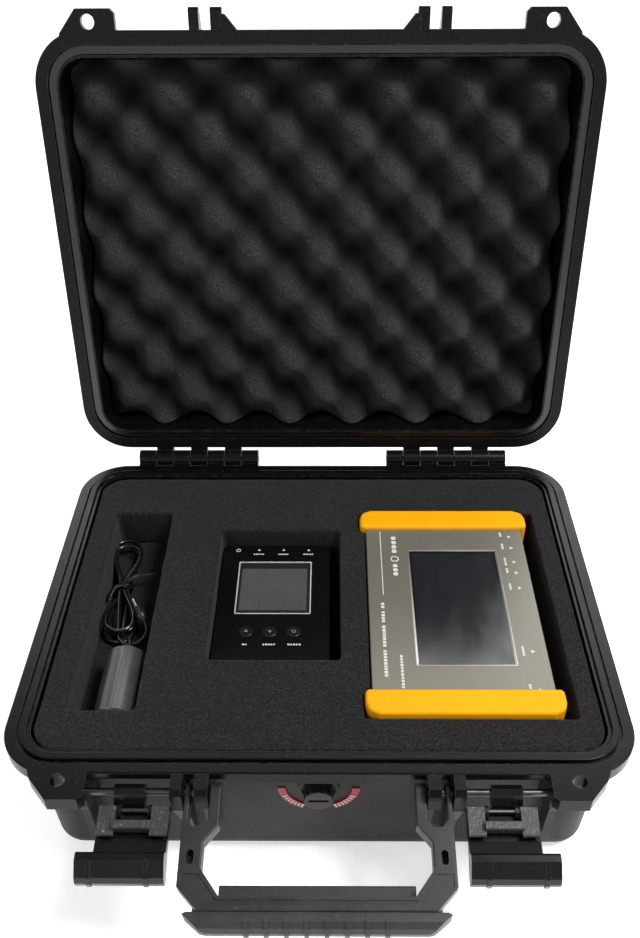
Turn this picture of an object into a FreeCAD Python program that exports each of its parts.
import FreeCAD, Part
import math
import os

import Sketcher
from FreeCAD import Placement, Rotation, Vector

# Cased audio-video test kit: a hard carrying case with two latches, a handle, a vent valve and a
# hinged lid, and in its foam a handheld signal generator, a small signal analyser and a power adapter.
# Millimetres. Origin at the centre of the base's underside, +Z up, -Y towards the latches.

doc = FreeCAD.newDocument("test_kit")


# ---------------------------------------------------------------------------------------------
# Driving dimensions
# ---------------------------------------------------------------------------------------------

SIZES = {
    # case
    "case_width": 340, "case_depth": 266, "base_height": 96, "lid_height": 48, "rim_gap": 0.3,
    "flange_radius": 31, "flange_inset": 11, "base_flange": 8.8, "lid_flange": 5, "wall": 3,
    "wall_lean": 3, "bottom_round": 12, "rim_width": 14, "lid_angle": 100,
    "groove_outer": 6.3, "ridge_outer": 8, "ridge_inner": 12.3, "ridge_height": 1.6,
    "seal_outer": 7.6, "seal_inner": 12.7, "seal_depth": 3, "seal_thickness": 1.1,
    "rib_inner_from": 56.6, "rib_inner_width": 6.8, "rib_outer_from": 70, "rib_outer_width": 6,
    "rib_reach": 145, "ear_inner": 119.8, "fin_inner": 124.8, "ear_hole_across": 134.3,
    "ear_hole_along": -137.3, "ear_hole_radius": 4,
    # hinge
    "hinge_along": 141.4, "hinge_start": 46.5, "knuckle_pitch": 12.36, "knuckle_gap": 0.4,
    "knuckle_radius": 6.2, "hinge_pin_radius": 2, "running_gap": 0.05,
    # pin shared by a latch and one arm of the handle
    "front_pin_along": -136.3, "front_pin_up": 84.5, "front_pin_radius": 1.9,
    "front_pin_inner": 50.4, "front_pin_outer": 122.8, "open_angle": 12,
    # latches
    "latch_inner": 76.5, "latch_outer": 113.4, "lip_outer": 121.4, "latch_reach": 33, "lip_reach": 46.5,
    "latch_knuckle_from": 90, "latch_knuckle_width": 16.2,
    "hook_pin_reach": 10.2, "hook_pin_radius": 1.3, "hook_inner": 76.7, "hook_outer": 112.6,
    "hook_pad": 8.7, "hook_bar_near": 17.2, "hook_bar_far": 21.6,
    # handle
    "handle_half": 69, "handle_inner": 50.2, "handle_bar_near": 54.5, "handle_reach": 70.5,
    "handle_thickness": 9, "slot_end": 20, "grip_half": 66, "grip_ridge_pitch": 9.8,
    # valve
    "valve_up": 67.2, "valve_radius": 8, "valve_stem": 3, "valve_front": -130.6, "valve_back": -122.4,
    # foam
    "foam_layer": 27, "foam_top": 95,
    # signal generator
    "gen_across": 81.2, "gen_along": -8.5, "gen_width": 103, "gen_length": 165, "gen_bottom": 70.3,
    "gen_top": 96, "gen_split": 83, "gen_wall": 2.2, "bumper_width": 111, "bumper_length": 17.5,
    "bumper_over": 4.5, "bumper_bottom": 68.3, "bumper_top": 99, "screen_across": 85,
    "screen_along": -9, "screen_width": 54, "screen_length": 95,
    # signal analyser
    "ana_across": -30, "ana_along": 3.5, "ana_width": 71.6, "ana_length": 110, "ana_bottom": 60.3,
    "ana_top": 84, "ana_split": 71, "ana_wall": 2, "button_radius": 4.4,
    "button_along": -21.3, "button_across": -30.9, "button_pitch": 14.7, "window_across": -30.2,
    "window_along": 18.1, "window_width": 48, "window_length": 48.4,
    # power adapter and its lead
    "adapter_across": -115.5, "adapter_back": -40, "adapter_length": 49, "adapter_radius": 12.4,
    "adapter_up": 80.8, "adapter_wall": 2, "relief_length": 8,
    "cord_diameter": 2.4,
}

sheet = doc.addObject("Spreadsheet::Sheet", "Sizes")
for row, (alias, value) in enumerate(SIZES.items(), start=1):
    sheet.set(f"A{row}", alias)
    sheet.set(f"B{row}", str(value))
    sheet.setAlias(f"B{row}", alias)
doc.recompute()


class Size:
    """A number together with the sheet expression that gives it, so both stay in step."""

    def __init__(self, value, text):
        self.value = float(value)
        self.text = text

    def __add__(self, other):
        other = as_size(other)
        return Size(self.value + other.value, f"({self.text} + {other.text})")

    def __radd__(self, other):
        return as_size(other) + self

    def __sub__(self, other):
        other = as_size(other)
        return Size(self.value - other.value, f"({self.text} - {other.text})")

    def __rsub__(self, other):
        return as_size(other) - self

    def __mul__(self, other):
        other = as_size(other)
        return Size(self.value * other.value, f"({self.text} * {other.text})")

    def __rmul__(self, other):
        return as_size(other) * self

    def __truediv__(self, other):
        other = as_size(other)
        return Size(self.value / other.value, f"({self.text} / {other.text})")

    def __neg__(self):
        return Size(-self.value, f"(0 - {self.text})")

    def __float__(self):
        return self.value


def as_size(number):
    """A Size from a Size or from a plain number."""
    if isinstance(number, Size):
        return number
    return Size(number, f"({number:.6g})")


class Sheet:
    """Sizes of the sheet by name: s.wall, s.case_width and so on."""

    def __getattr__(self, alias):
        return Size(sheet.get(alias), f"Sizes.{alias}")


s = Sheet()


# ---------------------------------------------------------------------------------------------
# Modelling helpers
# ---------------------------------------------------------------------------------------------

nodes = []


def keep(feature, label):
    """Name a finished sub-part and put it on the list of parts to export."""
    feature.Label = label
    nodes.append(feature)
    return feature


def new_body(label):
    """An empty PartDesign body that will be exported under its label."""
    return keep(doc.addObject("PartDesign::Body", "Body_" + label), label)


def origin_plane(body, role):
    """One of the body's own origin planes."""
    return next(f for f in body.Origin.OriginFeatures if f.Role == role)


def new_sketch(body, plane, at=0):
    """A sketch on the XY, XZ or YZ plane, moved to the coordinate at along that plane's axis."""
    sketch = body.newObject("Sketcher::SketchObject", body.Label + "_sketch")
    sketch.AttachmentSupport = (origin_plane(body, plane + "_Plane"), [""])
    sketch.MapMode = "FlatFace"
    at = -as_size(at) if plane == "XZ" else as_size(at)
    sketch.AttachmentOffset = Placement(Vector(0, 0, at.value), Rotation())
    sketch.setExpression("AttachmentOffset.Base.z", at.text)
    return sketch


def fix_point(sketch, geometry, point, across, up):
    """Pin one point of a sketch element to a place measured from the sketch's origin."""
    for kind, distance in (("DistanceX", as_size(across)), ("DistanceY", as_size(up))):
        index = sketch.addConstraint(Sketcher.Constraint(kind, -1, 1, geometry, point, distance.value))
        sketch.setExpression(f"Constraints[{index}]", distance.text)


def draw_polygon(sketch, points):
    """A closed outline of straight lines through the points."""
    corners = [Vector(float(a), float(b), 0) for a, b in points]
    first = sketch.GeometryCount
    count = len(corners)
    for i in range(count):
        sketch.addGeometry(Part.LineSegment(corners[i], corners[(i + 1) % count]))
    for i in range(count):
        following = first + (i + 1) % count
        sketch.addConstraint(Sketcher.Constraint("Coincident", first + i, 2, following, 1))
    for i, (a, b) in enumerate(points):
        fix_point(sketch, first + i, 1, a, b)


def draw_circle(sketch, across, up, radius):
    """A full circle."""
    radius = as_size(radius)
    centre = Vector(float(across), float(up), 0)
    geometry = sketch.addGeometry(Part.Circle(centre, Vector(0, 0, 1), radius.value))
    fix_point(sketch, geometry, 3, across, up)
    index = sketch.addConstraint(Sketcher.Constraint("Radius", geometry, radius.value))
    sketch.setExpression(f"Constraints[{index}]", radius.text)


def draw_rounded_rectangle(sketch, across, up, width, length, radius):
    """A rectangle with round corners about a centre."""
    across, up, radius = as_size(across), as_size(up), as_size(radius)
    half_width, half_length = as_size(width) / 2, as_size(length) / 2
    signs = ((1, -1), (1, 1), (-1, 1), (-1, -1))
    first = sketch.GeometryCount
    centres = [(across + a * (half_width - radius), up + b * (half_length - radius)) for a, b in signs]
    for i, (a, b) in enumerate(centres):
        circle = Part.Circle(Vector(a.value, b.value, 0), Vector(0, 0, 1), radius.value)
        start = -math.pi / 2 + i * math.pi / 2
        sketch.addGeometry(Part.ArcOfCircle(circle, start, start + math.pi / 2))
    for i in range(4):
        arc_end = sketch.Geometry[first + i].EndPoint
        arc_start = sketch.Geometry[first + (i + 1) % 4].StartPoint
        sketch.addGeometry(Part.LineSegment(arc_end, arc_start))
    for i, (a, b) in enumerate(centres):
        fix_point(sketch, first + i, 3, a, b)
        sketch.addConstraint(Sketcher.Constraint("Tangent", first + i, 2, first + 4 + i, 1))
        sketch.addConstraint(Sketcher.Constraint("Tangent", first + 4 + i, 2, first + (i + 1) % 4, 1))
    index = sketch.addConstraint(Sketcher.Constraint("Radius", first, radius.value))
    sketch.setExpression(f"Constraints[{index}]", radius.text)


def extrude(body, kind, sketch, length, reverse, lean):
    """A pad or a pocket of a sketch, with an optional taper angle."""
    length, lean = as_size(length), as_size(lean)
    feature = body.newObject("PartDesign::" + kind, body.Label + "_" + kind.lower())
    feature.Profile = sketch
    feature.Length = length.value
    feature.setExpression("Length", length.text)
    feature.Reversed = reverse
    feature.TaperAngle = lean.value
    body.Tip = feature
    doc.recompute()
    return feature


def pad(body, sketch, length, reverse=False, lean=0):
    """Add a sketch's outline as material."""
    return extrude(body, "Pad", sketch, length, reverse, lean)


def pocket(body, sketch, length, reverse=False, lean=0):
    """Cut a sketch's outline out, and make sure that something was cut."""
    before = body.Shape.Volume
    feature = extrude(body, "Pocket", sketch, length, reverse, lean)
    if not body.Shape.Volume < before - 1e-6:
        raise ValueError(f"a pocket of {body.Label} cuts nothing")
    return feature


def edge_names(shape, wanted):
    """Names of the edges for which wanted(edge) is true."""
    return [f"Edge{i}" for i, edge in enumerate(shape.Edges, start=1) if wanted(edge)]


def dress(body, kind, size_name, size, wanted):
    """A fillet or chamfer on the body's edges for which wanted(edge) is true."""
    size = as_size(size)
    base = body.Tip
    names = edge_names(base.Shape, wanted)
    if not names:
        raise ValueError(f"no edge of {body.Label} matches")
    feature = body.newObject("PartDesign::" + kind, body.Label + "_" + kind.lower())
    feature.Base = (base, names)
    setattr(feature, size_name, size.value)
    feature.setExpression(size_name, size.text)
    body.Tip = feature
    doc.recompute()
    return feature


def fillet(body, radius, wanted):
    """Round the wanted edges."""
    return dress(body, "Fillet", "Radius", radius, wanted)


def chamfer(body, size, wanted):
    """Bevel the wanted edges."""
    return dress(body, "Chamfer", "Size", size, wanted)


def mirror(body, features):
    """Repeat features on the other side of the YZ plane."""
    feature = body.newObject("PartDesign::Mirrored", body.Label + "_mirrored")
    feature.Originals = features
    feature.MirrorPlane = (origin_plane(body, "YZ_Plane"), [""])
    body.Tip = feature
    doc.recompute()
    return feature


def at_level(axis, level, tolerance=0.01):
    """A test for edges that lie wholly at one coordinate along X, Y or Z."""
    level = float(level)

    def test(edge):
        box = edge.BoundBox
        low, high = getattr(box, axis + "Min"), getattr(box, axis + "Max")
        return abs(low - level) < tolerance and abs(high - level) < tolerance

    return test


def along(axis, tolerance=0.01):
    """A test for straight edges that run along X, Y or Z."""

    def test(edge):
        box = edge.BoundBox
        lengths = {"X": box.XLength, "Y": box.YLength, "Z": box.ZLength}
        others = [length for name, length in lengths.items() if name != axis]
        return lengths[axis] > tolerance and max(others) < tolerance

    return test


def all_of(*tests):
    """A test that passes when every test given passes."""
    return lambda edge: all(test(edge) for test in tests)


def within(x=(-1e4, 1e4), y=(-1e4, 1e4), z=(-1e4, 1e4)):
    """A test for edges whose middle lies inside a box."""
    limits = ((float(x[0]), float(x[1])), (float(y[0]), float(y[1])), (float(z[0]), float(z[1])))

    def test(edge):
        centre = edge.BoundBox.Center
        return all(low <= c <= high for c, (low, high) in zip(centre, limits))

    return test


def rounded_slab(body, across, along_y, bottom, width, length, height, radius):
    """Pad a rectangle with round corners from a level upwards."""
    sketch = new_sketch(body, "XY", bottom)
    draw_rounded_rectangle(sketch, across, along_y, width, length, radius)
    return pad(body, sketch, height)


def rounded_cut(body, across, along_y, bottom, width, length, height, radius):
    """Pocket a rectangle with round corners from a level upwards."""
    sketch = new_sketch(body, "XY", bottom)
    draw_rounded_rectangle(sketch, across, along_y, width, length, radius)
    return pocket(body, sketch, height, reverse=True)


# ---------------------------------------------------------------------------------------------
# Case base
# ---------------------------------------------------------------------------------------------

LEAN = math.degrees(math.atan2(SIZES["wall_lean"], SIZES["base_height"]))


def rim_ring(body, level, outer_inset, inner_inset):
    """Sketch of a ring that follows the case rim, between two insets from the flange's edge."""
    sketch = new_sketch(body, "XY", level)
    for inset in (outer_inset, inner_inset):
        draw_rounded_rectangle(sketch, 0, 0, s.case_width - 2 * inset, s.case_depth - 2 * inset,
                               s.flange_radius - inset)
    return sketch


def front_rib(body, inner, width, profile):
    """An upright rib on the front: a profile in the YZ plane, from one |x| for a width."""
    sketch = new_sketch(body, "YZ", inner)
    draw_polygon(sketch, profile)
    return pad(body, sketch, width)


def is_outer_rim(edge):
    """True for an edge on the outer side of the flange."""
    box = edge.BoundBox
    half_width, half_depth = s.case_width.value / 2 - 0.05, s.case_depth.value / 2 - 0.05
    return max(abs(box.XMin), abs(box.XMax)) > half_width or max(abs(box.YMin), abs(box.YMax)) > half_depth


def knuckles(body, first, count, arm):
    """Every second hinge knuckle on both sides, from a place in the row; arm is their root's side view."""
    width = s.knuckle_pitch - s.knuckle_gap
    start = s.hinge_start + first * s.knuckle_pitch + s.knuckle_gap / 2
    for side in (-1, 1):
        near = start if side > 0 else -start - width
        sketch = new_sketch(body, "YZ", near)
        draw_polygon(sketch, arm)
        root = pad(body, sketch, width)
        sketch = new_sketch(body, "YZ", near)
        draw_circle(sketch, s.hinge_along, s.base_height, s.knuckle_radius)
        barrel = pad(body, sketch, width)
        row = body.newObject("PartDesign::LinearPattern", body.Label + "_row")
        row.Originals = [root, barrel]
        row.Direction = (origin_plane(body, "X_Axis"), [""])
        row.Reversed = side < 0
        span = 2 * (count - 1) * s.knuckle_pitch
        row.Length = span.value
        row.setExpression("Length", span.text)
        row.Occurrences = count
        body.Tip = row
        doc.recompute()
        sketch = new_sketch(body, "YZ", 40 if side > 0 else -140)
        draw_circle(sketch, s.hinge_along, s.base_height, s.hinge_pin_radius + s.running_gap)
        pocket(body, sketch, 100, reverse=True)


def make_base_shell():
    """Moulded tub with flange, sealing ridge, front ribs, padlock ears and hinge knuckles."""
    body = new_body("base_shell")
    width = s.case_width - 2 * s.flange_inset - 2 * s.wall_lean
    depth = s.case_depth - 2 * s.flange_inset - 2 * s.wall_lean
    radius = s.flange_radius - s.flange_inset - s.wall_lean
    sketch = new_sketch(body, "XY", 0)
    draw_rounded_rectangle(sketch, 0, 0, width, depth, radius)
    pad(body, sketch, s.base_height, lean=LEAN)
    sketch = new_sketch(body, "XY", s.wall)
    draw_rounded_rectangle(sketch, 0, 0, width - 2 * s.wall, depth - 2 * s.wall, radius - s.wall)
    pocket(body, sketch, s.base_height, reverse=True, lean=LEAN)
    fillet(body, s.bottom_round - s.wall, at_level("Z", s.wall))
    fillet(body, s.bottom_round, at_level("Z", 0))

    flange_bottom = s.base_height - s.base_flange
    pad(body, rim_ring(body, flange_bottom, 0, s.rim_width - 0.8), s.base_flange)
    fillet(body, 0.9, all_of(is_outer_rim, at_level("Z", s.base_height)))

    # the flange is thinner where the latches and the handle turn
    bay_from, bay_to, bay_depth = 48, 119.8, 3.8
    for side in (-1, 1):
        sketch = new_sketch(body, "XY", flange_bottom)
        front, back = -s.case_depth / 2 - 1, -s.case_depth / 2 + s.flange_inset - 0.8
        draw_polygon(sketch, [(side * bay_from, front), (side * bay_to, front),
                              (side * bay_to, back), (side * bay_from, back)])
        pocket(body, sketch, bay_depth, reverse=True)

    # ribs that hold the front pins, and the fins below the padlock ears
    reach = -s.rib_reach
    rib = [(-120.5, 95.5), (reach + 3, 95.5), (reach, 92.5), (reach, 80), (reach + 3, 75),
           (-131, 50), (-123, 18), (-118.2, 13)]
    pin_boss = [(-120.5, 90), (reach + 2, 90), (reach + 2, 80), (-136, 72), (-119.5, 64)]
    fin = [(-120.5, 90), (-140, 90), (-137, 78), (-131.5, 60), (-129, 26), (-118.2, 14)]
    short_rib = [(-120.5, 95.5), (reach + 3, 95.5), (reach, 92.5), (reach, 82), (-140, 75), (-130.5, 67),
                 (-123, 34), (-119.4, 28)]
    ribs = [front_rib(body, s.rib_inner_from, s.rib_inner_width, short_rib),
            front_rib(body, s.rib_outer_from, s.rib_outer_width, rib),
            front_rib(body, s.ear_inner, 3.5, pin_boss),
            front_rib(body, s.fin_inner, 4.4, fin)]
    ear = [(s.ear_inner, -128), (s.ear_inner, -146.5), (122.3, -149), (138.5, -149), (149.5, -136),
           (153.5, -126)]
    sketch = new_sketch(body, "XY", flange_bottom)
    draw_polygon(sketch, ear)
    ribs.append(pad(body, sketch, s.base_flange))
    mirror(body, ribs)
    groove_depth = 1.4
    groove = rim_ring(body, s.base_height - groove_depth, s.groove_outer, s.ridge_outer)
    pocket(body, groove, groove_depth, reverse=True)
    pad(body, rim_ring(body, s.base_height, s.ridge_outer, s.ridge_inner), s.ridge_height)
    fillet(body, 0.6, at_level("Z", s.base_height + s.ridge_height))
    for side in (-1, 1):
        sketch = new_sketch(body, "XY", flange_bottom)
        draw_circle(sketch, side * s.ear_hole_across, s.ear_hole_along, s.ear_hole_radius)
        pocket(body, sketch, s.base_flange, reverse=True)
        near = 48 if side > 0 else -124
        sketch = new_sketch(body, "YZ", near)
        draw_circle(sketch, s.front_pin_along, s.front_pin_up, s.front_pin_radius + 0.02)
        pocket(body, sketch, 76, reverse=True)

    arm = [(131.5, 87.6), (s.hinge_along, s.base_height - s.knuckle_radius),
           (s.hinge_along, s.base_height), (134.6, 95.9), (131.5, 95.9)]
    knuckles(body, 0, 4, arm)

    # boss of the vent valve
    sketch = new_sketch(body, "XZ", -119.6)
    draw_circle(sketch, 0, s.valve_up, s.valve_radius + 3.4)
    pad(body, sketch, 4)
    sketch = new_sketch(body, "XZ", -122.2)
    draw_circle(sketch, 0, s.valve_up, s.valve_radius + 1.4)
    pocket(body, sketch, 4, reverse=True)
    sketch = new_sketch(body, "XZ", -116)
    draw_circle(sketch, 0, s.valve_up, s.valve_stem + s.running_gap)
    pocket(body, sketch, 10, reverse=True)
    return body


def foam_slab(label, bottom, height, shrink, radius):
    """One sheet of the base's foam."""
    body = new_body(label)
    inset = 2 * (s.rim_width + shrink)
    rounded_slab(body, 0, 0, bottom, s.case_width - inset, s.case_depth - inset, height, radius)
    return body


def cut_from_top(body, top, depth, x_from, x_to, y_from, y_to, radius=2.5):
    """Cut a rectangular compartment downwards from a level."""
    x_from, x_to, y_from, y_to = as_size(x_from), as_size(x_to), as_size(y_from), as_size(y_to)
    rounded_cut(body, (x_from + x_to) / 2, (y_from + y_to) / 2, top - depth, x_to - x_from,
                y_to - y_from, depth, radius)


def make_base_foam():
    """Three foam sheets: one cut through for each device, one with a pocket, and a plain pad."""
    top = foam_slab("foam_top_layer", s.foam_top - s.foam_layer, s.foam_layer, 1.2, 16.5)
    half_width, half_length = s.gen_width / 2, s.gen_length / 2
    bay_right = s.gen_across + half_width + 10.3
    cut_from_top(top, s.foam_top, s.foam_layer, s.gen_across - half_width - 1, bay_right,
                 s.gen_along - half_length - 5, s.gen_along + half_length + 5)
    for end in (-1, 1):
        notch = s.gen_along + end * half_length
        cut_from_top(top, s.foam_top, s.foam_layer, s.gen_across - half_width - 4.8, bay_right,
                     notch - 9.75 - 4.75 * end, notch + 9.75 - 4.75 * end, 2)
    cut_from_top(top, s.foam_top, s.foam_layer, -140, -102, -90.6, 79.3)
    cut_from_top(top, s.foam_top, s.foam_layer, -66.5, 12.3, -53.5, 60.8)
    middle_top = s.foam_top - s.foam_layer
    middle = foam_slab("foam_middle_layer", middle_top - s.foam_layer, s.foam_layer, 2.1, 16)
    half_width, half_length = s.ana_width / 2 + 0.35, s.ana_length / 2 + 0.4
    cut_from_top(middle, middle_top, middle_top - s.ana_bottom + 0.3, s.ana_across - half_width,
                 s.ana_across + half_width, s.ana_along - half_length, s.ana_along + half_length)
    pad_height = middle_top - s.foam_layer - s.wall - 0.3
    bottom = foam_slab("foam_base_pad", s.wall + 0.3, pad_height, 3.2, 15)
    fillet(bottom, s.bottom_round - s.wall + 0.6, at_level("Z", s.wall + 0.3))


def rod(label, start, axis, length, radius):
    """A plain round bar from a point along an axis."""
    feature = doc.addObject("Part::Cylinder", "Rod_" + label)
    feature.Radius = as_size(radius).value
    feature.setExpression("Radius", as_size(radius).text)
    feature.Height = as_size(length).value
    feature.setExpression("Height", as_size(length).text)
    turn = Rotation(Vector(0, 0, 1), Vector(*axis))
    feature.Placement = Placement(Vector(*(float(value) for value in start)), turn)
    return keep(feature, label)


def make_pins():
    """Steel pins of the hinge, and the pins shared by each latch and one arm of the handle."""
    hinge_length = 7 * s.knuckle_pitch
    front_length = s.front_pin_outer - s.front_pin_inner
    for name, side in (("left", -1), ("right", 1)):
        near = s.hinge_start if side > 0 else -s.hinge_start - hinge_length
        rod(f"hinge_pin_{name}", (near, s.hinge_along, s.base_height), (1, 0, 0), hinge_length,
            s.hinge_pin_radius)
        near = s.front_pin_inner if side > 0 else -s.front_pin_outer
        rod(f"front_pin_{name}", (near, s.front_pin_along, s.front_pin_up), (1, 0, 0), front_length,
            s.front_pin_radius)


def make_valve():
    """Vent valve: a grooved turning knob with a coin slot, and the two marked arcs beside it."""
    knob = new_body("valve_knob")
    sketch = new_sketch(knob, "XZ", s.valve_back)
    draw_circle(sketch, 0, s.valve_up, s.valve_radius)
    pad(knob, sketch, s.valve_back - s.valve_front)
    fillet(knob, 0.8, at_level("Y", s.valve_front))
    groove_count, groove_radius, plain_collar = 12, 0.9, 1.6
    sketch = new_sketch(knob, "XZ", s.valve_front - 1)
    for i in range(groove_count):
        turned = math.radians(360 * (i + 0.5) / groove_count)
        ring = s.valve_radius.value + 0.4
        draw_circle(sketch, ring * math.cos(turned), s.valve_up.value + ring * math.sin(turned),
                    groove_radius)
    pocket(knob, sketch, s.valve_back - s.valve_front + 1 - plain_collar)
    coin_slot_depth = 1.4
    sketch = new_sketch(knob, "XZ", s.valve_front)
    draw_rounded_rectangle(sketch, 0, s.valve_up, 1.4 * s.valve_radius, 2, 0.9)
    pocket(knob, sketch, coin_slot_depth)
    sketch = new_sketch(knob, "XZ", -118.1)
    draw_circle(sketch, 0, s.valve_up, s.valve_stem)
    pad(knob, sketch, 4.5)

    marks = keep(doc.addObject("Part::Feature", "Valve_marks"), "valve_marks")
    inner, outer, thickness, sweep = 18.4, 22.6, 0.8, 64
    arcs = []
    for start in (182, 294):
        ring = Part.makeCylinder(outer, thickness, Vector(), Vector(0, 0, 1), sweep)
        core = Part.makeCylinder(inner, thickness, Vector(), Vector(0, 0, 1), sweep)
        arc = ring.cut(core)
        arc.rotate(Vector(), Vector(0, 0, 1), start)
        arcs.append(arc)
    marks.Shape = Part.makeCompound(arcs)
    # the marks lie on the front wall, which leans by the angle LEAN
    wall_along = -(s.case_depth.value / 2 - s.flange_inset.value - s.wall_lean.value
                   + math.tan(math.radians(LEAN)) * s.valve_up.value)
    marks.Placement = Placement(Vector(0, wall_along, s.valve_up.value),
                                Rotation(Vector(1, 0, 0), 90 + LEAN))


# ---------------------------------------------------------------------------------------------
# Lid, modelled closed and then opened about the hinge
# ---------------------------------------------------------------------------------------------

def open_lid(feature):
    """Turn a part of the lid from closed to open."""
    hinge = Vector(0, s.hinge_along.value, s.base_height.value)
    feature.Placement = Placement(Vector(), Rotation(Vector(1, 0, 0), -s.lid_angle.value), hinge)


def make_lid_shell():
    """Moulded lid with flange, seal groove, front ribs, padlock ears and hinge knuckles."""
    body = new_body("lid_shell")
    rim = s.base_height + s.rim_gap
    width, depth = s.case_width - 2 * s.flange_inset, s.case_depth - 2 * s.flange_inset
    radius = s.flange_radius - s.flange_inset
    sketch = new_sketch(body, "XY", rim)
    draw_rounded_rectangle(sketch, 0, 0, width, depth, radius)
    pad(body, sketch, s.lid_height, lean=-LEAN)
    sketch = new_sketch(body, "XY", rim)
    draw_rounded_rectangle(sketch, 0, 0, width - 2 * s.wall, depth - 2 * s.wall, radius - s.wall)
    pocket(body, sketch, s.lid_height - s.wall, reverse=True, lean=-LEAN)
    fillet(body, s.bottom_round - s.wall, at_level("Z", rim + s.lid_height - s.wall))
    fillet(body, s.bottom_round, at_level("Z", rim + s.lid_height))
    sketch = new_sketch(body, "XY", rim + s.lid_height - 0.2)
    for inset, corner in ((32, 14), (40, 7)):
        draw_rounded_rectangle(sketch, 0, 0, s.case_width - 2 * inset, s.case_depth - 2 * inset, corner)
    pad(body, sketch, 1.8)
    fillet(body, 0.7, at_level("Z", rim + s.lid_height + 1.6))

    pad(body, rim_ring(body, rim, 0, s.rim_width - 0.8), s.lid_flange)
    fillet(body, 0.9, all_of(is_outer_rim, at_level("Z", rim)))

    low = rim + 0.4
    rib = [(-120.5, low), (-142.5, low), (-144.5, low + 2), (-143.5, 103), (-131, 111), (-123, 134),
           (-119.2, 137)]
    ribs = [front_rib(body, s.rib_inner_from, s.rib_inner_width, rib),
            front_rib(body, s.rib_outer_from, s.rib_outer_width, rib)]
    for outline in ([(57.8, -131), (57.8, -141), (55, -141), (48.5, -133.4), (47, -131)],
                    [(118.5, -128), (118.5, -141.5), (121, -144), (141, -144), (151.5, -131.5),
                     (152.5, -127)]):
        sketch = new_sketch(body, "XY", rim)
        draw_polygon(sketch, outline)
        ribs.append(pad(body, sketch, s.lid_flange))
    mirror(body, ribs)
    pocket(body, rim_ring(body, rim, s.seal_outer, s.seal_inner), s.seal_depth, reverse=True)
    for side in (-1, 1):
        sketch = new_sketch(body, "XY", rim)
        draw_circle(sketch, side * s.ear_hole_across, s.ear_hole_along, s.ear_hole_radius)
        pocket(body, sketch, s.lid_flange, reverse=True)
    arm = [(131.5, 101.2), (s.hinge_along, s.base_height + s.knuckle_radius),
           (s.hinge_along, s.base_height), (134.6, 96.5), (131.5, 96.5)]
    knuckles(body, 1, 3, arm)
    open_lid(body)


def make_lid_seal():
    """Rubber seal in the lid's groove."""
    body = new_body("lid_seal")
    level = s.base_height + s.rim_gap + s.seal_depth - s.seal_thickness
    pad(body, rim_ring(body, level, s.seal_outer + 0.1, s.seal_inner - 0.1), s.seal_thickness)
    fillet(body, 0.4, at_level("Z", level))
    open_lid(body)


def make_lid_foam():
    """Foam pad of the lid, as the block that the moulded bumps fill."""
    body = new_body("lid_foam")
    bottom, top = s.base_height + 7.5, s.base_height + s.rim_gap + s.lid_height - s.wall - 0.3
    inset = 2 * (s.rim_width + 1.8)
    rounded_slab(body, 0, 0, bottom, s.case_width - inset, s.case_depth - inset, top - bottom, 14)
    fillet(body, s.bottom_round - s.wall + 0.3, at_level("Z", top))
    open_lid(body)


# ---------------------------------------------------------------------------------------------
# Latches and handle, modelled flat: -Y away from the pin, +Z the side that shows when open
# ---------------------------------------------------------------------------------------------

def hang_on_front_pin(feature):
    """Put a flat-modelled part on the front pins at its open angle."""
    pin = Vector(0, s.front_pin_along.value, s.front_pin_up.value)
    feature.Placement = Placement(pin, Rotation(Vector(1, 0, 0), s.open_angle.value))


def side_pad(body, side, x_from, x_to, profile):
    """Pad a side view between two |x| on one side of the case."""
    x_from, x_to = as_size(x_from), as_size(x_to)
    sketch = new_sketch(body, "YZ", x_from if side > 0 else -x_to)
    draw_polygon(sketch, profile)
    return pad(body, sketch, x_to - x_from)


def side_hole(body, side, x_from, x_to, reach, height, radius):
    """Drill along X between two |x| at a place of the side view."""
    x_from, x_to = as_size(x_from), as_size(x_to)
    sketch = new_sketch(body, "YZ", x_from if side > 0 else -x_to)
    draw_circle(sketch, -reach, height, radius)
    return pocket(body, sketch, x_to - x_from, reverse=True)


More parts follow.
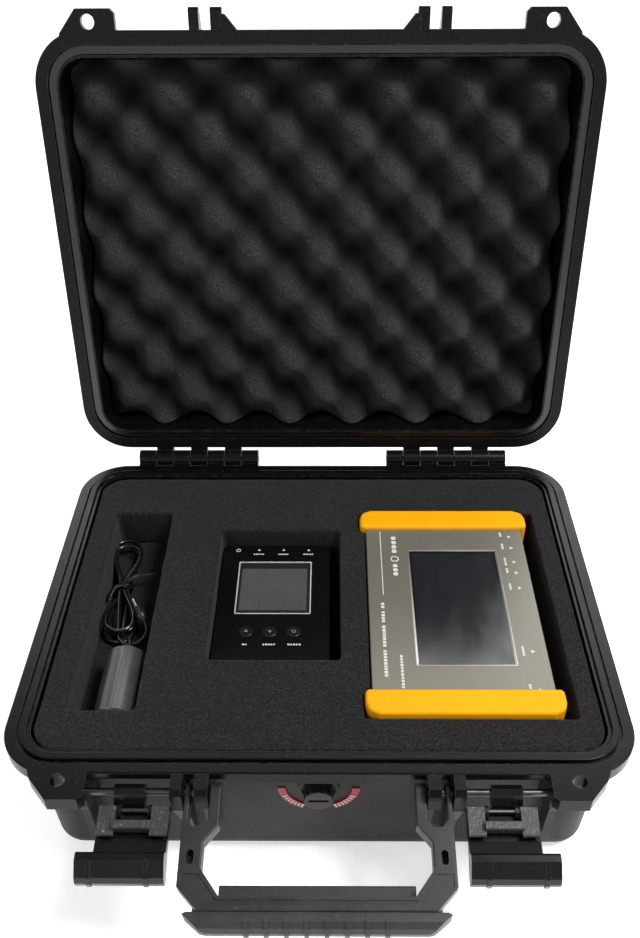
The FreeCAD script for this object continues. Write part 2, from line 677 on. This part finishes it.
def make_latch(name, side):
    """Draw latch: a lever on the front pin, a small steel rod in it, and a hook on that rod."""
    rod_height = -0.5
    reach = s.latch_reach
    inner_pad_end = s.hook_inner + s.hook_pad
    outer_pad_start = s.hook_outer - s.hook_pad
    knuckle_end = s.latch_knuckle_from + s.latch_knuckle_width

    lever = new_body(f"{name}_latch_lever")
    side_pad(lever, side, s.latch_inner, s.latch_outer,
             [(-7, -6), (-7, -2.6), (-24.8, -2.6), (-25.4, -1.6), (-reach, -1), (-reach, -6)])
    cheek_width, cheek_gap = 2, 0.4
    for cheek_from in (inner_pad_end + cheek_gap, outer_pad_start - cheek_gap - cheek_width):
        side_pad(lever, side, cheek_from, cheek_from + cheek_width,
                 [(-7, -4), (-7.6, 1.2), (-9.2, 1.9), (-11.4, 1.7), (-13.4, 0.2), (-14.4, -2.6), (-14.4, -4)])
    side_pad(lever, side, s.latch_inner, s.lip_outer,
             [(-32.4, -6.6), (-32.4, 1.8), (-33.8, 3), (-37, 3), (-44.4, -1.6), (-46.3, -4.6),
              (-46.3, -8), (-44.6, -9.8), (-42, -9.8), (-35.5, -7.8)])
    for ridge_from in (84.5, 113.2):
        side_pad(lever, side, ridge_from, ridge_from + 2.4,
                 [(-36, -8.6), (-37, 3.5), (-44.9, -1.3), (-s.lip_reach - 0.4, -4.5),
                  (-s.lip_reach - 0.4, -8.3), (-44.8, -10.5), (-42, -10.5)])
    side_pad(lever, side, s.latch_knuckle_from, knuckle_end,
             [(0.6, -4.3), (-8, -6), (-8, -2.6), (-3, 3.1), (0, 4.3), (3, 3.1), (4.3, 0), (3, -3.1)])
    side_hole(lever, side, s.latch_knuckle_from - 1, knuckle_end + 1, 0, 0,
              s.front_pin_radius + s.running_gap)
    side_hole(lever, side, inner_pad_end, outer_pad_start, s.hook_pin_reach, rod_height,
              s.hook_pin_radius + 0.02)
    hang_on_front_pin(lever)

    latch_rod = new_body(f"{name}_latch_rod")
    near, far = s.hook_inner + 0.2, s.hook_outer - 0.2
    sketch = new_sketch(latch_rod, "YZ", near if side > 0 else -far)
    draw_circle(sketch, -s.hook_pin_reach, rod_height, s.hook_pin_radius)
    pad(latch_rod, sketch, far - near)
    hang_on_front_pin(latch_rod)

    hook = new_body(f"{name}_latch_hook")
    cheek = [(-8.4, 0.4), (-8.4, 2.4), (-9, 2.9), (-23.6, 2.9), (-24.2, 2.4), (-24.2, 0.8), (-21.4, 0.2),
             (-13, -2.2), (-9.6, -2.2)]
    side_pad(hook, side, s.hook_inner, inner_pad_end, cheek)
    side_pad(hook, side, outer_pad_start, s.hook_outer, cheek)
    side_pad(hook, side, inner_pad_end - 0.5, outer_pad_start + 0.5,
             [(-s.hook_bar_near, -0.8), (-s.hook_bar_near, 5.6), (-s.hook_bar_near - 0.5, 6),
              (-s.hook_bar_far + 0.5, 6), (-s.hook_bar_far, 5.2), (-s.hook_bar_far, -0.8)])
    side_hole(hook, side, s.hook_inner, s.hook_outer, s.hook_pin_reach, rod_height,
              s.hook_pin_radius + s.running_gap)
    hang_on_front_pin(hook)


def make_handle():
    """Moulded handle with two forked arms, and the soft grip over its bar."""
    frame = new_body("handle_frame")
    half, inner = s.handle_half, s.handle_inner
    bottom, recess_depth = -s.handle_thickness / 2, 6
    outline = [(half, 4.4), (half, -50), (58.2, -61.5), (-58.2, -61.5), (-half, -50), (-half, 4.4),
               (-inner, 4.4), (-inner, -19), (-57.6, -28), (-57.6, -41.5), (-48.1, -s.handle_bar_near),
               (48.1, -s.handle_bar_near), (57.6, -41.5), (57.6, -28), (inner, -19), (inner, 4.4)]
    sketch = new_sketch(frame, "XY", bottom)
    draw_polygon(sketch, outline)
    pad(frame, sketch, s.handle_thickness)
    fillet(frame, 4.3, all_of(along("X"), within(y=(4, 5))))
    for side in (-1, 1):
        sketch = new_sketch(frame, "XY", bottom)
        draw_polygon(sketch, [(side * 56, 6), (side * 66.1, 6), (side * 66.1, -s.slot_end + 3),
                              (side * 63.5, -s.slot_end), (side * 58.6, -s.slot_end),
                              (side * 56, -s.slot_end + 3)])
        pocket(frame, sketch, s.handle_thickness, reverse=True)
        sketch = new_sketch(frame, "XY", s.handle_thickness / 2 - recess_depth)
        draw_rounded_rectangle(sketch, side * 63.4, -35.5, 3.6, 7.4, 1.7)
        pocket(frame, sketch, recess_depth, reverse=True)
        side_hole(frame, side, 49, 70, 0, 0, s.front_pin_radius + s.running_gap)
    panel_depth = 0.7
    sketch = new_sketch(frame, "XY", s.handle_thickness / 2 - panel_depth)
    draw_polygon(sketch, [(67.2, -43.5), (67.2, -49.2), (57.4, -59.6), (-57.4, -59.6), (-67.2, -49.2),
                          (-67.2, -43.5), (-58.6, -43.5), (-49.2, -56.2), (49.2, -56.2), (58.6, -43.5)])
    pocket(frame, sketch, panel_depth, reverse=True)
    fillet(frame, 0.8, all_of(at_level("Z", s.handle_thickness / 2), within(y=(-62, 3)),
                              lambda edge: edge.Length > 5.5 and not within(y=(-59.7, -43))(edge)))
    hang_on_front_pin(frame)

    grip = new_body("handle_grip")
    reach = s.handle_reach
    sketch = new_sketch(grip, "YZ", -s.grip_half)
    draw_polygon(sketch, [(-61.6, 3), (-66, 3), (-reach + 1.6, 0.8), (-reach, -2.4), (-reach, -6.4),
                          (-reach + 1.8, -9), (-reach + 5, -10), (-57.5, -10), (-55.2, -8), (-55, -4.6),
                          (-61.6, -4.6)])
    pad(grip, sketch, 2 * s.grip_half)
    sketch = new_sketch(grip, "XY", -11)
    for side in (-1, 1):
        draw_polygon(sketch, [(side * 61.5, -50), (side * 61.5, -60.5), (side * 65.4, -62.6),
                              (side * 54.8, -reach - 1), (side * 80, -reach - 1), (side * 80, -50)])
    pocket(grip, sketch, 16, reverse=True)
    chamfer(grip, 1.5, all_of(along("Z"), within(y=(-reach - 1, -reach + 1))))
    sketch = new_sketch(grip, "YZ", -49)
    draw_polygon(sketch, [(-56, -4.6), (-47.6, -4.6), (-46.6, -5.6), (-46.6, -8.2), (-48, -9.6),
                          (-57, -9.6)])
    pad(grip, sketch, 98)
    for i in range(8):
        across = (i - 3.5) * s.grip_ridge_pitch
        sketch = new_sketch(grip, "YZ", across - 1.1)
        draw_polygon(sketch, [(-62, 2.5), (-66.2, 3.7), (-reach + 1.1, 1.4), (-reach - 0.8, -2.2),
                              (-reach - 0.8, -6.6), (-reach + 1.4, -9.6), (-reach + 5, -10.7),
                              (-60, -10.7), (-60, -5.2), (-62, -5.2)])
        pad(grip, sketch, 2.2)
    hang_on_front_pin(grip)


# ---------------------------------------------------------------------------------------------
# Signal generator: a flat box with a touch screen between two end bumpers
# ---------------------------------------------------------------------------------------------

def box_shell(label, across, along_y, width, length, low, high, wall, corner, open_side):
    """One half of a hollow casing, open at its top or at its bottom."""
    body = new_body(label)
    rounded_slab(body, across, along_y, low, width, length, high - low, corner)
    floor = low + wall if open_side == "top" else low
    rounded_cut(body, across, along_y, floor, width - 2 * wall, length - 2 * wall, high - low - wall,
                corner - wall)
    return body


def screw_places(across, along_y, width, length, inset):
    """Four places near the corners of a casing."""
    half_width, half_length = width / 2 - inset, length / 2 - inset
    return [(across + a * half_width, along_y + b * half_length) for a in (-1, 1) for b in (-1, 1)]


def posts(body, places, low, high, radius, hole):
    """Screw posts inside a casing half, each with its hole through to the outside."""
    for part, size in ((pad, radius), (pocket, hole)):
        sketch = new_sketch(body, "XY", low)
        for across, along_y in places:
            draw_circle(sketch, across, along_y, size)
        if part is pad:
            pad(body, sketch, high - low)
        else:
            pocket(body, sketch, high - low, reverse=True)


def make_screws(label, places, low, head, length, shank_radius):
    """Four casing screws, driven in from below."""
    body = new_body(label)
    for level, height, radius in ((low, head, shank_radius * 2), (low + head - 0.1, length, shank_radius)):
        sketch = new_sketch(body, "XY", level)
        for across, along_y in places:
            draw_circle(sketch, across, along_y, radius)
        pad(body, sketch, height)


def side_window(body, plane, at, across, up, width, height, depth, corner=0.8):
    """Cut a port window outwards through a casing wall, facing +Y (plane XZ) or +X (plane YZ)."""
    sketch = new_sketch(body, plane, at)
    draw_rounded_rectangle(sketch, across, up, width, height, corner)
    return pocket(body, sketch, depth, reverse=plane == "YZ")


def socket_row(label, plane, mouth, up, depth, sockets):
    """Port sockets facing +Y (plane XZ) or +X (plane YZ): each a frame with a back and a tongue."""
    body = new_body(label)
    inwards = plane == "YZ"
    for across, width, height in sockets:
        sketch = new_sketch(body, plane, mouth)
        draw_rounded_rectangle(sketch, across, up, width, height, 0.7)
        draw_rounded_rectangle(sketch, across, up, width - 1, height - 1, 0.4)
        pad(body, sketch, depth, reverse=inwards)
        sketch = new_sketch(body, plane, mouth - 0.75 * depth)
        draw_rounded_rectangle(sketch, across, up, width - 0.6, height - 0.6, 0.4)
        pad(body, sketch, depth / 4, reverse=inwards)
        sketch = new_sketch(body, plane, mouth - 1.2)
        draw_rounded_rectangle(sketch, across, up, width / 2, height / 5, height / 12)
        pad(body, sketch, depth - 1.4, reverse=inwards)


GEN_SOCKETS = ((50, 13, 5.6), (29, 14.6, 5.6), (7, 14.6, 5.6), (-46, 8.6, 4.2), (-66, 8.6, 6.4))
ANA_SOCKETS = ((-41.6, 10.4, 4.6), (-25.2, 10.4, 4.6), (-8.6, 10.4, 4.6))


def make_generator():
    """Casing halves, bumpers, touch glass, display, board, battery, sockets and screws."""
    across, along_y, width, length = s.gen_across, s.gen_along, s.gen_width, s.gen_length
    low, split, high, wall = s.gen_bottom, s.gen_split, s.gen_top, s.gen_wall
    places = screw_places(across, along_y, width, length, 8)
    socket_up = 77.6

    back = box_shell("generator_back_shell", across, along_y, width, length, low, split, wall, 6, "top")
    posts(back, places, low, split, 3.6, 1.25)
    sketch = new_sketch(back, "XY", low)
    for place in places:
        draw_circle(sketch, *place, 2.5)
    pocket(back, sketch, 2, reverse=True)
    side = across + width / 2
    for place, socket_width, socket_height in GEN_SOCKETS:
        side_window(back, "YZ", side - wall - 0.1, place, socket_up, socket_width + 0.6,
                    socket_height + 0.6, wall + 1)

    front = box_shell("generator_front_shell", across, along_y, width, length, split, high, wall, 6,
                      "bottom")
    posts(front, places, split, high - 1.2, 3.6, 1.1)
    glass_width, glass_length, glass_thickness = s.screen_width + 3.4, s.screen_length + 4, 1.1
    rounded_cut(front, s.screen_across, s.screen_along, high - wall - 1, s.screen_width, s.screen_length,
                wall + 1, 0.6)
    rounded_cut(front, s.screen_across, s.screen_along, high - glass_thickness, glass_width + 0.4,
                glass_length + 0.4, glass_thickness, 1)
    fillet(front, 0.8, all_of(at_level("Z", high), lambda edge: not within(
        x=(s.screen_across - 32, s.screen_across + 32), y=(s.screen_along - 52, s.screen_along + 52))(edge)))

    glass = new_body("generator_touch_glass")
    rounded_slab(glass, s.screen_across, s.screen_along, high - glass_thickness, glass_width,
                 glass_length, glass_thickness - 0.2, 0.8)
    display = new_body("generator_display")
    rounded_slab(display, s.screen_across, s.screen_along, high - wall - 3.4, s.screen_width + 4,
                 s.screen_length + 8, 3.2, 0.8)
    board = new_body("generator_circuit_board")
    rounded_slab(board, across, along_y, 80.6, width - 22, length - 22, 1.6, 2)
    for x_at, y_at, x_size, y_size, tall in ((60, 20, 14, 14, 1.4), (60, -20, 17, 12, 1.2),
                                             (98, -40, 12, 16, 1.8), (100, 24, 9, 9, 1)):
        rounded_slab(board, x_at, y_at, 82.1, x_size, y_size, tall, 0.6)
    battery = new_body("generator_battery")
    rounded_slab(battery, across - 12, along_y - 4, low + wall + 0.2, 54, 92, 6.8, 2.4)
    socket_row("generator_sockets", "YZ", side - 0.6, socket_up, 8.4, GEN_SOCKETS)
    make_screws("generator_screws", places, low, 1.9, 20, 1.2)

    for name, sign in (("rear", 1), ("front", -1)):
        end = along_y + sign * (length / 2 + s.bumper_over)
        centre = end - sign * s.bumper_length / 2
        bumper = new_body(f"generator_bumper_{name}")
        rounded_slab(bumper, across, centre, s.bumper_bottom, s.bumper_width, s.bumper_length,
                     s.bumper_top - s.bumper_bottom, 3)
        sketch = new_sketch(bumper, "XY", s.bumper_bottom)
        reach = 8
        for a in (-1, 1):
            corner_x = across + a * s.bumper_width / 2
            draw_polygon(sketch, [(corner_x + a, end + sign), (corner_x - a * reach, end + sign),
                                  (corner_x - a * (reach - 0.6), end), (corner_x - a * 3, end - sign * 2),
                                  (corner_x - a * 1.2, end - sign * 4), (corner_x, end - sign * reach),
                                  (corner_x + a, end - sign * reach)])
        pocket(bumper, sketch, s.bumper_top - s.bumper_bottom, reverse=True)
        fillet(bumper, 2.2, at_level("Z", s.bumper_top))
        fillet(bumper, 1.2, at_level("Z", s.bumper_bottom))
        sketch = new_sketch(bumper, "XY", low)
        draw_rounded_rectangle(sketch, across, along_y, width, length, 6)
        pocket(bumper, sketch, high - low, reverse=True)


# ---------------------------------------------------------------------------------------------
# Signal analyser: a small box with a display and three keys
# ---------------------------------------------------------------------------------------------

def make_analyser():
    """Casing halves, window and its frame, display, board, battery, sockets, keys and screws."""
    across, along_y, width, length = s.ana_across, s.ana_along, s.ana_width, s.ana_length
    low, split, high, wall = s.ana_bottom, s.ana_split, s.ana_top, s.ana_wall
    places = screw_places(across, along_y, width, length, 6)
    socket_up = 74.6
    keys = [s.button_across + i * s.button_pitch for i in (-1, 0, 1)]

    back = box_shell("analyser_back_shell", across, along_y, width, length, low, split, wall, 4, "top")
    posts(back, places, low, split, 2.8, 1.05)
    sketch = new_sketch(back, "XY", low)
    for place in places:
        draw_circle(sketch, *place, 2.1)
    pocket(back, sketch, 1.6, reverse=True)

    front = box_shell("analyser_front_shell", across, along_y, width, length, split, high, wall, 4,
                      "bottom")
    posts(front, places, split, high - 1, 2.8, 0.95)
    window_depth = 1.2
    rounded_cut(front, s.window_across, s.window_along, high - window_depth, s.window_width,
                s.window_length, window_depth, 1)
    rounded_cut(front, s.window_across, s.window_along, high - wall, s.window_width - 4,
                s.window_length - 6, wall, 0.6)
    sketch = new_sketch(front, "XY", high - wall - 0.5)
    for key in keys:
        draw_circle(sketch, key, s.button_along, s.button_radius + 0.25)
    pocket(front, sketch, wall + 0.5, reverse=True)
    end = along_y + length / 2
    for place, socket_width, socket_height in ANA_SOCKETS:
        side_window(front, "XZ", end - wall - 0.1, place, socket_up, socket_width + 0.6,
                    socket_height + 0.6, wall + 1)
    side_window(front, "XZ", end - wall - 0.1, -56, socket_up, 6.4, 4.4, wall + 1)
    fillet(front, 0.7, all_of(at_level("Z", high), lambda edge: edge.BoundBox.DiagonalLength > 60
                              or not within(x=(-62, 2), y=(-47, 55))(edge)))

    frame = new_body("analyser_window_frame")
    sketch = new_sketch(frame, "XY", high - window_depth)
    draw_rounded_rectangle(sketch, s.window_across, s.window_along, s.window_width - 0.2,
                           s.window_length - 0.2, 0.9)
    draw_rounded_rectangle(sketch, s.window_across, s.window_along, s.window_width - 1.6,
                           s.window_length - 1.6, 0.5)
    pad(frame, sketch, window_depth + 0.15)
    glass = new_body("analyser_window")
    rounded_slab(glass, s.window_across, s.window_along, high - window_depth, s.window_width - 1.8,
                 s.window_length - 1.8, window_depth - 0.3, 0.4)
    display = new_body("analyser_display")
    rounded_slab(display, s.window_across, s.window_along - 0.6, high - wall - 2.6, s.window_width - 2,
                 s.window_length - 4, 2.4, 0.6)
    board = new_body("analyser_circuit_board")
    rounded_slab(board, across, along_y, 77.2, width - 16, length - 16, 1.4, 1.5)
    for x_at, y_at, x_size, y_size in ((-44, 22, 12, 12), (-20, 16, 9, 9), (-30, -6, 14, 7)):
        rounded_slab(board, x_at, y_at, 76.1, x_size, y_size, 1.2, 0.5)
    battery = new_body("analyser_battery")
    rounded_slab(battery, across, along_y - 8, low + wall + 0.2, 44, 62, 8, 2)
    socket_row("analyser_sockets", "XZ", end - 0.5, socket_up, 7.6, ANA_SOCKETS)
    make_screws("analyser_screws", places, low, 1.5, 17, 1)

    for name, key in zip(("left", "middle", "right"), keys):
        button = new_body(f"analyser_button_{name}")
        sketch = new_sketch(button, "XY", high - wall - 0.3)
        draw_circle(sketch, key, s.button_along, s.button_radius)
        pad(button, sketch, wall + 0.9)
        fillet(button, 0.5, at_level("Z", high + 0.6))
        sketch = new_sketch(button, "XY", high + 0.2)
        draw_circle(sketch, key, s.button_along, s.button_radius - 1.6)
        pocket(button, sketch, 1, reverse=True)
    switch = new_body("analyser_power_button")
    sketch = new_sketch(switch, "XZ", end + 0.6)
    draw_rounded_rectangle(sketch, -56, socket_up, 5.9, 3.9, 0.9)
    pad(switch, sketch, 3.2)
    fillet(switch, 0.4, at_level("Y", end + 0.6))


# ---------------------------------------------------------------------------------------------
# Power adapter, lying on its side, with its lead tied into a hank
# ---------------------------------------------------------------------------------------------

def make_adapter_half(name, side):
    """Half of the adapter's round casing: a hollow profile turned through half a circle."""
    half = new_body(f"adapter_half_{name}")
    radius, wall, length, bevel = s.adapter_radius, s.adapter_wall, s.adapter_length, 1.2
    sketch = new_sketch(half, "XY", 0)
    inner = radius - wall
    draw_polygon(sketch, [(0, 0), (radius - bevel, 0), (radius, -bevel), (radius, bevel - length),
                          (radius - bevel, -length), (0, -length), (0, wall - length),
                          (inner, wall - length), (inner, -wall), (0, -wall)])
    turn = half.newObject("PartDesign::Revolution", half.Label + "_revolution")
    turn.Profile = sketch
    turn.ReferenceAxis = (sketch, ["V_Axis"])
    turn.Angle = 180
    turn.Midplane = True
    half.Tip = turn
    doc.recompute()
    sketch = new_sketch(half, "XZ", 1)
    draw_circle(sketch, -0.15, 0, 2.4)
    pocket(half, sketch, 5, reverse=True)
    sketch = new_sketch(half, "XZ", -length + 4)
    draw_rounded_rectangle(sketch, -0.15, 0, 14.2, 8.2, 3.8)
    pocket(half, sketch, 6, reverse=True)
    if side < 0:
        sketch = new_sketch(half, "XY", 8.3)
        for place in (-9, -32, -43):
            draw_circle(sketch, 7.8, place, 0.8)
        pocket(half, sketch, 5, reverse=True)
    # half the seam's width keeps the two halves apart
    base = Vector(s.adapter_across.value + side * 0.15, s.adapter_back.value, s.adapter_up.value)
    half.Placement = Placement(base, Rotation(Vector(0, 0, 1) if side > 0 else Vector(0, 1, 0),
                                              0 if side > 0 else 180))


def make_adapter():
    """Casing halves, inlet with its pins, board with transformer, and the lead's strain relief."""
    for name, side in (("left", -1), ("right", 1)):
        make_adapter_half(name, side)
    across, back, up, length = s.adapter_across, s.adapter_back, s.adapter_up, s.adapter_length
    front = back - length
    inlet = new_body("adapter_inlet")
    sketch = new_sketch(inlet, "XZ", front + 8)
    draw_rounded_rectangle(sketch, across, up, 14, 8, 3.7)
    pad(inlet, sketch, 7.6)
    sketch = new_sketch(inlet, "XZ", front + 6.5)
    draw_rounded_rectangle(sketch, across, up, 12, 6, 2.8)
    pocket(inlet, sketch, 7, reverse=True)
    pins = new_body("adapter_inlet_pins")
    sketch = new_sketch(pins, "XZ", front + 9)
    for sign in (-1, 1):
        draw_circle(sketch, across + sign * 3, up, 0.9)
    pad(pins, sketch, 7)
    board = new_body("adapter_circuit_board")
    rounded_slab(board, across, back - 20, up - 4.6, 17, 33, 1.4, 1)
    rounded_slab(board, across, back - 15, up - 3.3, 13, 12, 10, 1)
    relief = new_body("adapter_strain_relief")
    sketch = new_sketch(relief, "XZ", back + s.relief_length)
    draw_circle(sketch, across, up, 2.3)
    pad(relief, sketch, s.relief_length + 3)
    for i in range(3):
        sketch = new_sketch(relief, "XZ", back + 6.2 - 2.1 * i)
        draw_circle(sketch, across, up, 2.9)
        pad(relief, sketch, 1.2)
    sketch = new_sketch(relief, "XZ", back - 2.1)
    draw_circle(sketch, across, up, 3.6)
    pad(relief, sketch, 1.2)


def cord_tube(label, points):
    """A cord's tube along straight runs joined by tangent arcs through the points."""
    points = [Vector(*point) for point in points]
    edges = []
    here = points[0]
    length, radii = 0, []
    for i in range(1, len(points) - 1):
        before, after = points[i] - points[i - 1], points[i + 1] - points[i]
        turn = before.getAngle(after)
        trim = 0.45 * min(before.Length, after.Length)
        radius = trim / math.tan(turn / 2)
        radii.append(round(radius, 1))
        before.normalize()
        after.normalize()
        arc_start, arc_end = points[i] - before * trim, points[i] + after * trim
        bisector = after - before
        bisector.normalize()
        centre = points[i] + bisector * (radius / math.cos(turn / 2))
        middle = centre - bisector * radius
        edges.append(Part.LineSegment(here, arc_start).toShape())
        edges.append(Part.Arc(arc_start, middle, arc_end).toShape())
        length += (arc_start - here).Length + radius * turn
        here = arc_end
    edges.append(Part.LineSegment(here, points[-1]).toShape())
    length += (points[-1] - here).Length
    path = Part.Wire(edges)
    radius = s.cord_diameter.value / 2
    section = Part.Wire([Part.makeCircle(radius, points[0], points[1] - points[0])])
    tube = path.makePipeShell([section], True, False)
    expected = math.pi * radius ** 2 * length
    print(f"{label}: radii {radii}, length {length:.1f}, volume ratio {tube.Volume / expected:.4f}")
    feature = keep(doc.addObject("Part::Feature", "Tube_" + label), label)
    feature.Shape = tube


def ellipsoid(name, centre, half_height, half_width, half_length, turn):
    """An ellipsoid that lies along Y, turned a little about Z."""
    feature = doc.addObject("Part::Ellipsoid", name)
    feature.Radius1 = half_height
    feature.Radius2 = half_width
    feature.Radius3 = half_length
    feature.Placement = Placement(Vector(*centre), Rotation(Vector(0, 0, 1), turn))
    return feature


def make_lead():
    """The adapter's lead: a short tube, the tied hank, a tube to the plug, the tie and the plug."""
    cord_tube("adapter_cord_lead", [(-115.5, -32, 80.8), (-116.3, -26.3, 79.9), (-119.6, -21.3, 77.9),
                                    (-123.6, -17.2, 75.6)])
    cord_tube("adapter_cord_tail", [(-110, -10, 81), (-107.6, -14.6, 80.3), (-108, -19.8, 79),
                                    (-111.2, -23.9, 77.6), (-116.1, -25.6, 76.3), (-121.2, -24.5, 75.4),
                                    (-124.9, -20.8, 74.8), (-126.6, -15.9, 74.4)])
    waist = doc.addObject("Part::Cylinder", "Hank_waist")
    waist.Radius = 4.6
    waist.Height = 22
    waist.Placement = Placement(Vector(-128.8, 16, 73.8), Rotation(Vector(0, 0, 1), Vector(-0.07, 1, 0)))
    hank = doc.addObject("Part::MultiFuse", "Hank")
    hank.Shapes = [ellipsoid("Hank_rear", (-131.6, 51.5, 73.8), 5, 7.2, 25.5, 4), waist,
                   ellipsoid("Hank_front", (-127, 3, 73.8), 5.2, 11, 24, 6)]
    keep(hank, "adapter_cord_hank")
    tie = doc.addObject("Part::Torus", "Tie")
    tie.Radius1 = 4.9
    tie.Radius2 = 0.5
    tie.Placement = Placement(Vector(-129.6, 27, 74.2), Rotation(Vector(0, 0, 1), Vector(-0.07, 1, 0)))
    keep(tie, "cord_tie")

    # the plug points back along the lead's hank
    turn = Rotation(Vector(0, 1, 0), Vector(-9.6, 18, 1))
    base = Vector(-110, -10, 81)
    for label, profile in (("adapter_plug", [(0, 0), (1.9, 0), (2.4, 3), (3.3, 5), (3.3, 12.6), (2.9, 13),
                                             (0, 13)]),
                           ("adapter_plug_barrel", [(0, 13), (2.5, 13), (2.5, 14), (1.75, 14),
                                                    (1.75, 20.6), (1.5, 21), (0, 21)])):
        body = new_body(label)
        sketch = new_sketch(body, "XY", 0)
        draw_polygon(sketch, profile)
        spin = body.newObject("PartDesign::Revolution", label + "_revolution")
        spin.Profile = sketch
        spin.ReferenceAxis = (sketch, ["V_Axis"])
        spin.Angle = 360
        body.Tip = spin
        doc.recompute()
        body.Placement = Placement(base, turn)


# ---------------------------------------------------------------------------------------------
# Build, check and export
# ---------------------------------------------------------------------------------------------

make_base_shell()
make_base_foam()
make_pins()
make_valve()
make_lid_shell()
make_lid_seal()
make_lid_foam()
for latch_name, latch_side in (("left", -1), ("right", 1)):
    make_latch(latch_name, latch_side)
make_handle()
make_generator()
make_analyser()
make_adapter()
make_lead()

doc.recompute()
failed = [f.Label for f in doc.Objects if "Invalid" in f.State or "Error" in f.State]
failed += [node.Label for node in nodes if node.Shape.isNull() or not node.Shape.isValid()]
if failed:
    raise ValueError(f"not built: {failed}")

os.makedirs("parts", exist_ok=True)
for node in nodes:
    box = node.Shape.BoundBox
    print(f"{node.Label:24s} {node.Shape.Volume:10.0f} mm3, {len(node.Shape.Solids)} solid(s),"
          f" z {box.ZMin:.1f} to {box.ZMax:.1f}")
    node.Shape.exportStep(f"parts/{node.Label}.step")
